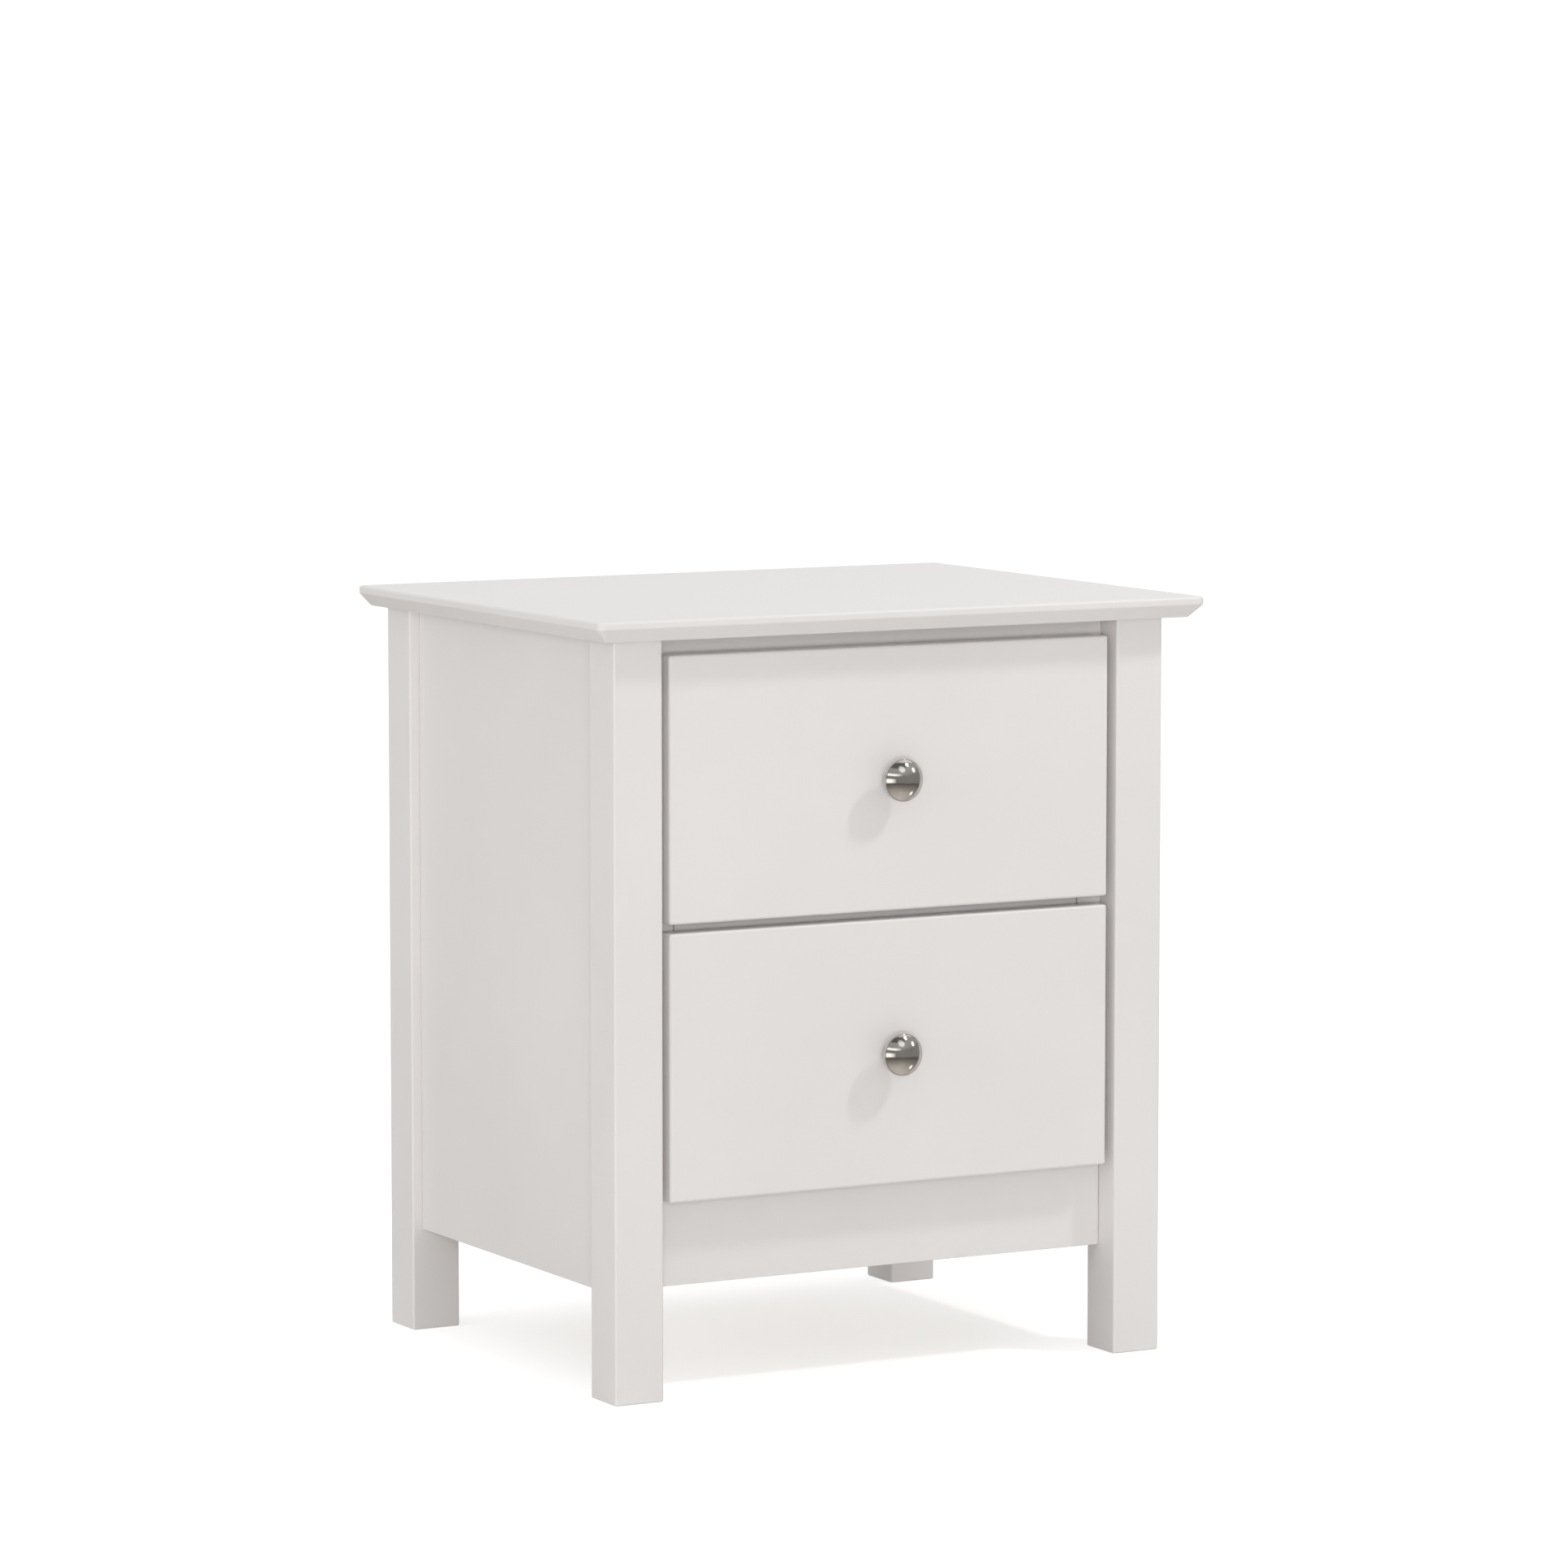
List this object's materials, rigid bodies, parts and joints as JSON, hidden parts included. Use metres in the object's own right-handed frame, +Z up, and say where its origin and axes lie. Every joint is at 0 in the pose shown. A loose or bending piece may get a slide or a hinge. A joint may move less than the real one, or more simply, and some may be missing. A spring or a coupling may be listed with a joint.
{
  "type": "nightstand with drawers",
  "caption": "White painted post-and-panel nightstand with an overhanging under-bevelled top, flat drawer fronts with round satin nickel knobs, on ball-bearing slides.",
  "frame": {"origin": "centre of the overall box in plan, on the floor", "axes": "+Z up; the drawers open towards -Y; seen from the front, +X is to the right"},
  "size_m": [0.542, 0.43, 0.61],
  "materials": {
    "painted_wood": "satin off-white paint over solid wood and board",
    "painted_board": "satin off-white paint over thin board",
    "raw_wood": "planed, unfinished light hardwood",
    "drawer_wood": "clear-lacquered light hardwood boards",
    "plywood": "clear-lacquered birch plywood",
    "satin_nickel": "satin nickel plate on a cast and turned zinc knob",
    "zinc_steel": "bright zinc-plated cold-rolled steel",
    "screw_steel": "zinc-plated screw",
    "bumper_rubber": "soft translucent self-adhesive bumper"
  },
  "bodies": {
    "root": {"tabletop": "painted_wood", "post_front_left": "painted_wood", "post_front_right": "painted_wood", "post_rear_left": "painted_wood", "post_rear_right": "painted_wood", "side_panel_left": "painted_wood", "side_panel_right": "painted_wood", "stile_left": "painted_wood", "stile_right": "painted_wood", "top_rail_front": "painted_wood", "middle_rail_front": "painted_wood", "bottom_rail_front": "painted_wood", "back_panel": "painted_board", "top_rail_rear": "painted_wood", "bottom_rail_rear": "painted_wood", "top_batten_left": "raw_wood", "top_batten_right": "raw_wood", "top_screw_front_left": "screw_steel", "top_screw_rear_left": "screw_steel", "top_screw_front_right": "screw_steel", "top_screw_rear_right": "screw_steel", "slide_cleat_upper_left": "raw_wood", "slide_outer_upper_left": "zinc_steel", "slide_cleat_upper_right": "raw_wood", "slide_outer_upper_right": "zinc_steel", "slide_cleat_lower_left": "raw_wood", "slide_outer_lower_left": "zinc_steel", "slide_cleat_lower_right": "raw_wood", "slide_outer_lower_right": "zinc_steel"},
    "upper_drawer": {"drawer_front_upper": "painted_wood", "drawer_box_left_upper": "drawer_wood", "drawer_box_right_upper": "drawer_wood", "drawer_box_front_upper": "drawer_wood", "drawer_box_back_upper": "drawer_wood", "drawer_bottom_upper": "plywood", "knob_upper": "satin_nickel", "knob_screw_upper": "screw_steel", "slide_inner_upper_left": "zinc_steel", "slide_inner_upper_right": "zinc_steel", "bumper_upper_left": "bumper_rubber", "bumper_upper_right": "bumper_rubber"},
    "lower_drawer": {"drawer_front_lower": "painted_wood", "drawer_box_left_lower": "drawer_wood", "drawer_box_right_lower": "drawer_wood", "drawer_box_front_lower": "drawer_wood", "drawer_box_back_lower": "drawer_wood", "drawer_bottom_lower": "plywood", "knob_lower": "satin_nickel", "knob_screw_lower": "screw_steel", "slide_inner_lower_left": "zinc_steel", "slide_inner_lower_right": "zinc_steel", "bumper_lower_left": "bumper_rubber", "bumper_lower_right": "bumper_rubber"},
    "upper_slide_middles": {"slide_middle_upper_left": "zinc_steel", "slide_middle_upper_right": "zinc_steel"},
    "lower_slide_middles": {"slide_middle_lower_left": "zinc_steel", "slide_middle_lower_right": "zinc_steel"}
  },
  "joints": [
    {"name": "upper_drawer_slide", "type": "slide", "parent": "root", "child": "upper_drawer", "axis": [0, -1, 0], "range_m": [0, 0.35]},
    {"name": "upper_slide_extension", "type": "slide", "parent": "root", "child": "upper_slide_middles", "axis": [0, -1, 0], "range_m": [0, 0.175]},
    {"name": "lower_drawer_slide", "type": "slide", "parent": "root", "child": "lower_drawer", "axis": [0, -1, 0], "range_m": [0, 0.35]},
    {"name": "lower_slide_extension", "type": "slide", "parent": "root", "child": "lower_slide_middles", "axis": [0, -1, 0], "range_m": [0, 0.175]}
  ],
  "couplings": [
    {"joint": "upper_slide_extension", "follows": "upper_drawer_slide", "ratio": 0.5},
    {"joint": "lower_slide_extension", "follows": "lower_drawer_slide", "ratio": 0.5}
  ]
}
